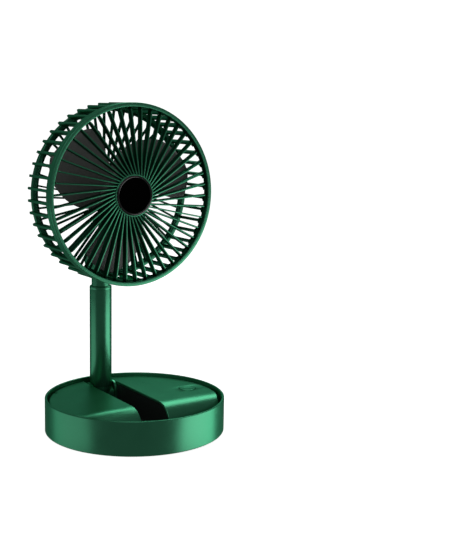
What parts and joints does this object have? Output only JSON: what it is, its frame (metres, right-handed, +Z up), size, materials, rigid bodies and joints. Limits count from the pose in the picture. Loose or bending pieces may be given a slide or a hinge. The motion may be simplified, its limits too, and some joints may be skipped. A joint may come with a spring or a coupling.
{
  "type": "desk fan",
  "caption": "Foldable desk fan: round base tub, telescopic pole that folds into a channel, caged head that tilts back and turns over to stow on the base.",
  "frame": {"origin": "centre of the circle on which the rubber feet stand, on the table", "axes": "+Z up, the fan blows towards -Y, the pole stands at +Y"},
  "size_m": [0.1556, 0.155, 0.2812],
  "materials": {
    "green_shell": "satin pearl",
    "black_liner": "moulded",
    "black_gloss": "polished",
    "black_plastic": "moulded",
    "smoked_blade": "smoked",
    "steel": "plain",
    "foot_rubber": "moulded",
    "circuit_board": "lacquered",
    "battery_wrap": "shrink wrap",
    "copper": "enamelled wire",
    "motor_iron": "plain"
  },
  "bodies": {
    "base": {"base_shell": "green_shell", "left_deck": "green_shell", "right_deck": "green_shell", "channel_tray": "black_liner", "hinge_bracket": "green_shell", "base_pin": "steel", "pivot_washers": "black_plastic", "push_switch": "black_plastic", "control_board": "circuit_board", "battery_cells": "battery_wrap", "battery_holder": "black_plastic", "usb_socket": "steel", "charge_board": "circuit_board", "rubber_feet": "foot_rubber", "deck_screws": "steel"},
    "button": {"power_button": "green_shell", "button_spring": "steel"},
    "pole_outer": {"foot_knuckle": "green_shell", "outer_tube": "green_shell", "tube_collar": "green_shell"},
    "pole_inner": {"inner_tube": "green_shell", "slide_bush": "black_plastic", "top_knuckle": "green_shell"},
    "hinge_core": {"head_pin": "steel", "hinge_discs": "black_plastic"},
    "head": {"rear_bracket": "green_shell", "bracket_screws": "steel", "rear_cage": "green_shell", "rear_grille": "green_shell", "front_grille": "green_shell", "hub_bezel": "black_gloss", "hub_cap": "black_gloss", "motor_base": "black_plastic", "motor_board": "circuit_board", "stator_core": "motor_iron", "stator_coils": "copper", "ball_bearings": "steel"},
    "rotor": {"impeller": "smoked_blade", "impeller_cap": "black_plastic", "rotor_cup": "steel", "rotor_magnets": "motor_iron", "motor_shaft": "steel"}
  },
  "joints": [
    {"name": "pole_fold", "type": "hinge", "parent": "base", "child": "pole_outer", "pos_m": [0, 0.064, 0.014], "axis": [-1, 0, 0], "range_deg": [-90, 0]},
    {"name": "pole_slide", "type": "slide", "parent": "pole_outer", "child": "pole_inner", "axis": [0, 0, 1], "range_m": [0, 0.065]},
    {"name": "head_fold", "type": "hinge", "parent": "pole_inner", "child": "hinge_core", "pos_m": [0, 0.064, 0.1407], "axis": [-1, 0, 0], "range_deg": [0, 180]},
    {"name": "head_tilt", "type": "hinge", "parent": "hinge_core", "child": "head", "pos_m": [0, 0.064, 0.1407], "axis": [-1, 0, 0], "range_deg": [0, 90]},
    {"name": "blade_spin", "type": "hinge", "parent": "head", "child": "rotor", "pos_m": [0, 0.03, 0.2034], "axis": [0, -1, 0], "continuous": true},
    {"name": "power_press", "type": "slide", "parent": "base", "child": "button", "axis": [0, 0, -1], "range_m": [0, 0.001], "stiffness_N_per_m": 1500, "springref_m": -0.0006, "deforming": ["button_spring"]}
  ],
  "couplings": [
    {"joint": "head_fold", "follows": "pole_fold", "ratio": -2}
  ]
}
